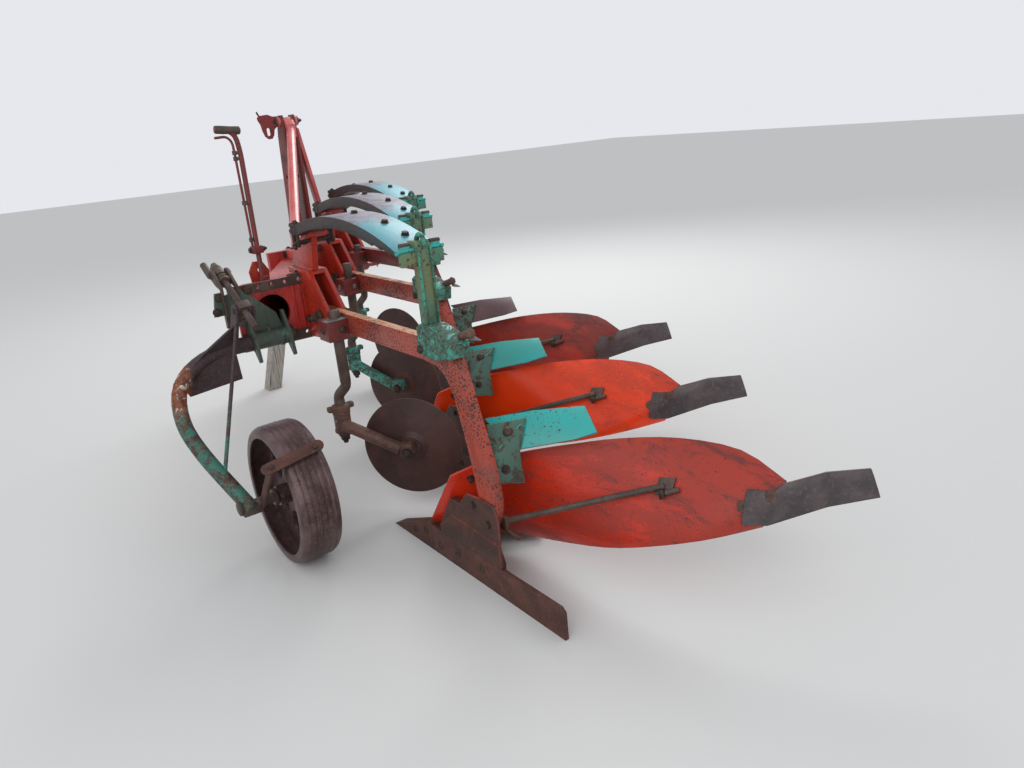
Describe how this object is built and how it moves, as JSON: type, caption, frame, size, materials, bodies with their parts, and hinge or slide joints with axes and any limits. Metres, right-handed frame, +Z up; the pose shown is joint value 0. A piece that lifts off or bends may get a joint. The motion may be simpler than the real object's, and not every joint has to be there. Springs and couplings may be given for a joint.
{
  "type": "moldboard plough",
  "caption": "Mounted right-hand moldboard plough: diagonal box beam, leaf-spring trip legs, disc coulters, trash boards, screw-set depth wheel and a timber prop under the hitch.",
  "frame": {"origin": "on the ground under the middle of the whole plough's box", "axes": "+Y is the direction of travel, +X is the side the soil is turned to, +Z is up"},
  "size_m": [2.2237, 3.7565, 1.594],
  "materials": {
    "red_paint": "weathered orange-red enamel",
    "teal_paint": "worn turquoise enamel over primer",
    "rusty_steel": "dark rust-brown steel",
    "bare_steel": "dull bare steel",
    "weathered_wood": "grey weathered timber"
  },
  "bodies": {
    "frame": {"main_beam": "red_paint", "beam_flanges": "red_paint", "leg_brackets": "red_paint", "leg_pivots": "bare_steel", "spring_rear": "teal_paint", "spring_middle": "teal_paint", "spring_front": "teal_paint", "spring_links": "teal_paint", "leg_rear": "red_paint", "leg_middle": "red_paint", "leg_front": "red_paint", "leg_saddles": "teal_paint", "frogs": "rusty_steel", "landsides": "rusty_steel", "share_points": "rusty_steel", "shares": "rusty_steel", "mouldboard_rear": "red_paint", "mouldboard_middle": "red_paint", "mouldboard_front": "red_paint", "board_tails": "bare_steel", "trash_boards": "teal_paint", "trash_brackets": "teal_paint", "board_stays": "bare_steel", "coulter_clamps": "red_paint", "coulter_stems": "bare_steel", "wheel_mount": "teal_paint", "screw_yoke": "teal_paint", "mast": "red_paint", "mast_strut": "red_paint", "mast_brace": "red_paint", "hitch_shaft": "red_paint", "lever": "red_paint", "prop_post": "weathered_wood"},
    "depth_arm": {"wheel_pivot_shaft": "bare_steel", "wheel_arm": "teal_paint", "wheel_axle": "bare_steel", "wheel_scraper": "rusty_steel"},
    "depth_wheel_body": {"depth_wheel": "rusty_steel"},
    "depth_screw_body": {"depth_screw": "bare_steel"},
    "screw_nut_body": {"screw_nut": "bare_steel"},
    "coulter_rear": {"coulter_arm_rear": "teal_paint"},
    "coulter_middle": {"coulter_arm_middle": "teal_paint"},
    "coulter_front": {"coulter_arm_front": "teal_paint"},
    "disc_rear_body": {"disc_rear": "rusty_steel"},
    "disc_middle_body": {"disc_middle": "rusty_steel"},
    "disc_front_body": {"disc_front": "rusty_steel"}
  },
  "joints": [
    {"name": "depth_arm_raise", "type": "hinge", "parent": "frame", "child": "depth_arm", "pos_m": [-0.785, 0.1382, 0.72], "axis": [-1, 0, 0], "range_deg": [-2, 20]},
    {"name": "depth_screw_tilt", "type": "hinge", "parent": "frame", "child": "depth_screw_body", "pos_m": [-0.785, 0.2382, 0.99], "axis": [1, 0, 0], "range_deg": [-0.1, 1]},
    {"name": "screw_nut_turn", "type": "hinge", "parent": "depth_arm", "child": "screw_nut_body", "pos_m": [-0.785, 0.0292, 0.877], "axis": [1, 0, 0], "range_deg": [-2.1, 21]},
    {"name": "depth_wheel_spin", "type": "hinge", "parent": "depth_arm", "child": "depth_wheel_body", "pos_m": [-0.834, -0.2818, 0.2575], "axis": [1, 0, 0], "continuous": true},
    {"name": "coulter_rear_swivel", "type": "hinge", "parent": "frame", "child": "coulter_rear", "pos_m": [-0.521, -0.0818, 0.38], "axis": [0, 0, 1], "range_deg": [-62, 13]},
    {"name": "disc_rear_spin", "type": "hinge", "parent": "coulter_rear", "child": "disc_rear_body", "pos_m": [-0.33498, -0.28839, 0.27], "axis": [0.7431, 0.6691, 0], "continuous": true},
    {"name": "coulter_middle_swivel", "type": "hinge", "parent": "frame", "child": "coulter_middle", "pos_m": [-0.091, 0.6882, 0.38], "axis": [0, 0, 1], "range_deg": [-49, 26]},
    {"name": "disc_middle_spin", "type": "hinge", "parent": "coulter_middle", "child": "disc_middle_body", "pos_m": [0.04378, 0.44506, 0.27], "axis": [0.8746, 0.4848, 0], "continuous": true},
    {"name": "coulter_front_swivel", "type": "hinge", "parent": "frame", "child": "coulter_front", "pos_m": [0.339, 1.4582, 0.38], "axis": [0, 0, 1], "range_deg": [-40, 35]},
    {"name": "disc_front_spin", "type": "hinge", "parent": "coulter_front", "child": "disc_front_body", "pos_m": [0.43408, 1.19697, 0.27], "axis": [0.9397, 0.342, 0], "continuous": true}
  ],
  "couplings": [
    {"joint": "depth_screw_tilt", "follows": "depth_arm_raise", "ratio": 0.05},
    {"joint": "screw_nut_turn", "follows": "depth_arm_raise", "ratio": 1.05}
  ]
}
